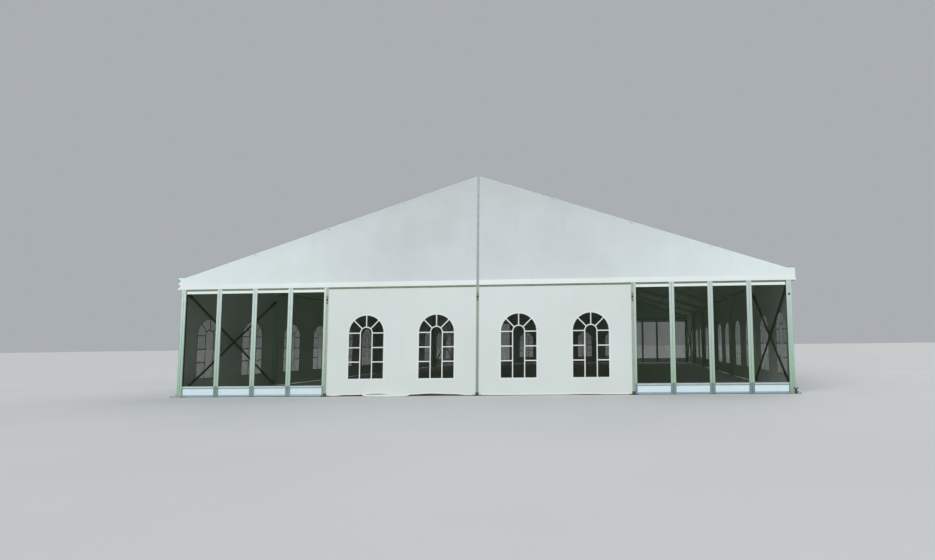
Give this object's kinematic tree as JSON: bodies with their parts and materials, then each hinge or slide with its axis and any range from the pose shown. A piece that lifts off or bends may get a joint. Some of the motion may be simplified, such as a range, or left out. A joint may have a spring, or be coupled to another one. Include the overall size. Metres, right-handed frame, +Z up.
{
  "type": "clear-span frame marquee",
  "caption": "White clear-span marquee on aluminium portal frames, with a gabled roof, glazed corner bays and PVC walls with arched windows.",
  "frame": {"origin": "on the ground, under the middle of the marquee", "axes": "+X to the right across the gable as seen from the front, +Y along the tent towards its rear, +Z up"},
  "size_m": [20.328, 30.3, 7.1692],
  "materials": {
    "aluminium": "mill finish, satin",
    "roof_fabric": "coated PVC, satin",
    "wall_fabric": "coated PVC, satin",
    "window_film": "clear PVC film",
    "glass": "clear toughened glass",
    "brace_steel": "dark satin"
  },
  "bodies": {
    "root": {"frame_1": "aluminium", "frame_2": "aluminium", "frame_3": "aluminium", "frame_4": "aluminium", "frame_5": "aluminium", "frame_6": "aluminium", "frame_7": "aluminium", "roof_cover_1": "roof_fabric", "roof_cover_2": "roof_fabric", "roof_cover_3": "roof_fabric", "roof_cover_4": "roof_fabric", "roof_cover_5": "roof_fabric", "roof_cover_6": "roof_fabric", "front_gable_posts": "aluminium", "front_gable_sheet_left": "wall_fabric", "front_wall_left": "wall_fabric", "front_window_film_left": "window_film", "front_glass_frame_left": "aluminium", "front_glass_left": "glass", "front_brace_left": "brace_steel", "front_gable_sheet_right": "wall_fabric", "front_wall_right": "wall_fabric", "front_window_film_right": "window_film", "front_glass_frame_right": "aluminium", "front_glass_right": "glass", "front_brace_right": "brace_steel", "rear_gable_posts": "aluminium", "rear_gable_sheet_left": "wall_fabric", "rear_wall_left": "wall_fabric", "rear_window_film_left": "window_film", "rear_glass_frame_left": "aluminium", "rear_glass_left": "glass", "rear_brace_left": "brace_steel", "rear_gable_sheet_right": "wall_fabric", "rear_wall_right": "wall_fabric", "rear_window_film_right": "window_film", "rear_glass_frame_right": "aluminium", "rear_glass_right": "glass", "rear_brace_right": "brace_steel", "left_wall_1": "wall_fabric", "left_wall_2": "wall_fabric", "left_wall_3": "wall_fabric", "left_wall_4": "wall_fabric", "left_wall_5": "wall_fabric", "left_wall_6": "wall_fabric", "left_window_film": "window_film", "right_wall_1": "wall_fabric", "right_wall_2": "wall_fabric", "right_wall_3": "wall_fabric", "right_wall_4": "wall_fabric", "right_wall_5": "wall_fabric", "right_wall_6": "wall_fabric", "right_window_film": "window_film"}
  },
  "joints": []
}
